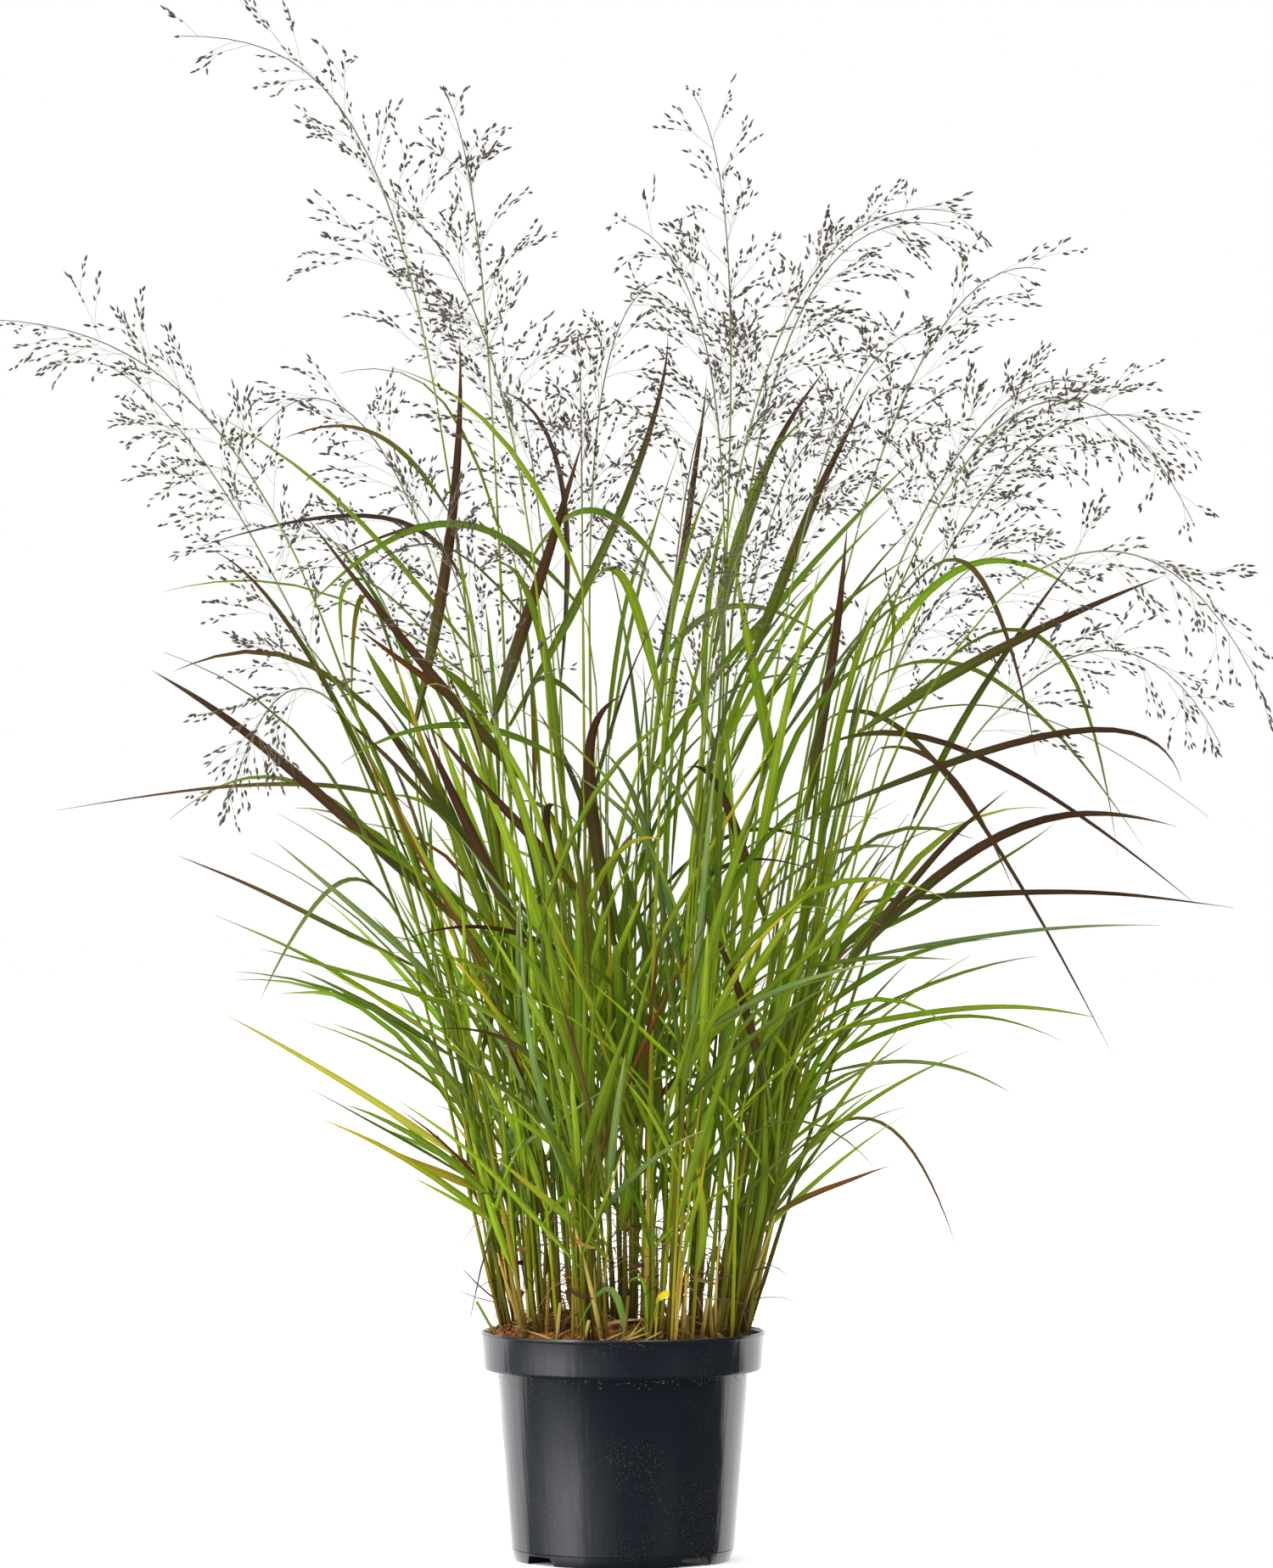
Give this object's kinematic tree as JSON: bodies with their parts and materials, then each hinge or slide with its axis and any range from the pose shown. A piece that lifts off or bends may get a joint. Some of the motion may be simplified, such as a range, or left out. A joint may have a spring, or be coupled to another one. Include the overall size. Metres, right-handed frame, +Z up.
{
  "type": "potted ornamental grass",
  "caption": "Clump-forming switchgrass in flower in a round nursery pot: upright culms, arching leaf blades, open airy seed sprays.",
  "frame": {"origin": "middle of the pot's foot, on the surface that the pot stands on", "axes": "+Z up along the pot's axis; +X to the right and -Y towards the viewer of the plant's front"},
  "size_m": [0.826, 0.685, 1.0255],
  "materials": {
    "pot_plastic": "gloss",
    "potting_soil": "matte",
    "grass_blades": "satin",
    "seed_sprays": "matte"
  },
  "bodies": {
    "root": {"pot": "pot_plastic", "soil": "potting_soil", "tuft_01": "grass_blades", "tuft_02": "grass_blades", "tuft_03": "grass_blades", "tuft_04": "grass_blades", "tuft_05": "grass_blades", "tuft_06": "grass_blades", "tuft_07": "grass_blades", "tuft_08": "grass_blades", "tuft_09": "grass_blades", "tuft_10": "grass_blades", "tuft_11": "grass_blades", "tuft_12": "grass_blades", "tuft_13": "grass_blades", "tuft_14": "grass_blades", "tuft_15": "grass_blades", "tuft_16": "grass_blades", "spray_01": "seed_sprays", "spray_02": "seed_sprays", "spray_03": "seed_sprays", "spray_04": "seed_sprays", "spray_05": "seed_sprays", "spray_06": "seed_sprays", "spray_07": "seed_sprays", "spray_08": "seed_sprays", "spray_09": "seed_sprays", "spray_10": "seed_sprays", "spray_11": "seed_sprays", "spray_12": "seed_sprays", "spray_13": "seed_sprays", "spray_14": "seed_sprays", "spray_15": "seed_sprays", "spray_16": "seed_sprays", "spray_17": "seed_sprays", "spray_18": "seed_sprays", "spray_19": "seed_sprays", "spray_20": "seed_sprays", "spray_21": "seed_sprays", "spray_22": "seed_sprays", "spray_23": "seed_sprays", "spray_24": "seed_sprays", "spray_25": "seed_sprays", "spray_26": "seed_sprays", "spray_27": "seed_sprays"}
  },
  "joints": []
}
